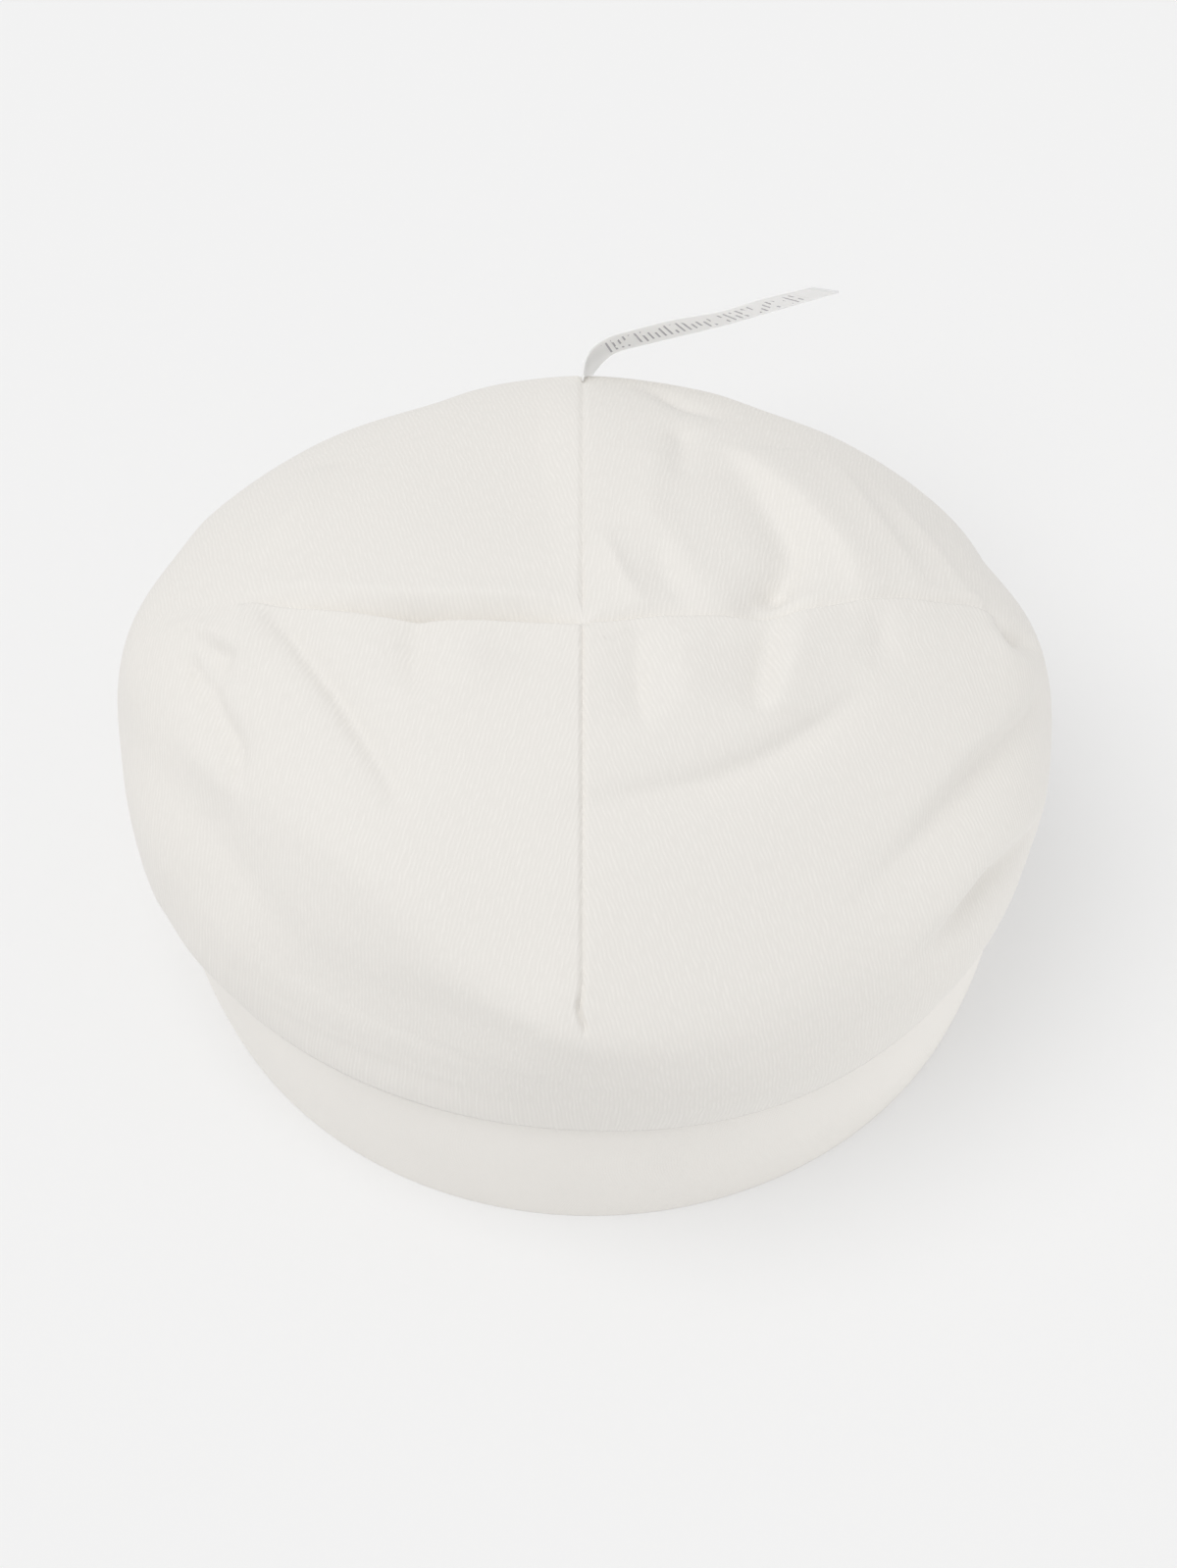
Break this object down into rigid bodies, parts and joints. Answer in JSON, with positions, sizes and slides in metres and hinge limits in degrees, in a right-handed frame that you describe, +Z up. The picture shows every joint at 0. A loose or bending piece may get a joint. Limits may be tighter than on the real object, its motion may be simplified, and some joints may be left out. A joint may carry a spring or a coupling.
{
  "type": "baby jersey cap",
  "caption": "Soft off-white baby cap of fine rib jersey: a darted, puffed crown over a smooth rim band, with a plain care tape standing out of the back seam. Worn on a baby's head.",
  "frame": {"origin": "on the surface that the cap stands on, under the middle of its box", "axes": "+Z up out of the crown, -Y the cap's front, where the front dart is, +X the wearer's left"},
  "size_m": [0.1652, 0.1678, 0.0861],
  "materials": {
    "rib_jersey": "fine one by one rib cotton jersey, off-white, matt",
    "smooth_jersey": "smooth single cotton jersey, folded double, off-white, matt",
    "care_tape": "thin woven polyester tape, white, slight satin sheen"
  },
  "bodies": {
    "root": {"crown": "rib_jersey", "band": "smooth_jersey", "label": "care_tape"}
  },
  "joints": []
}
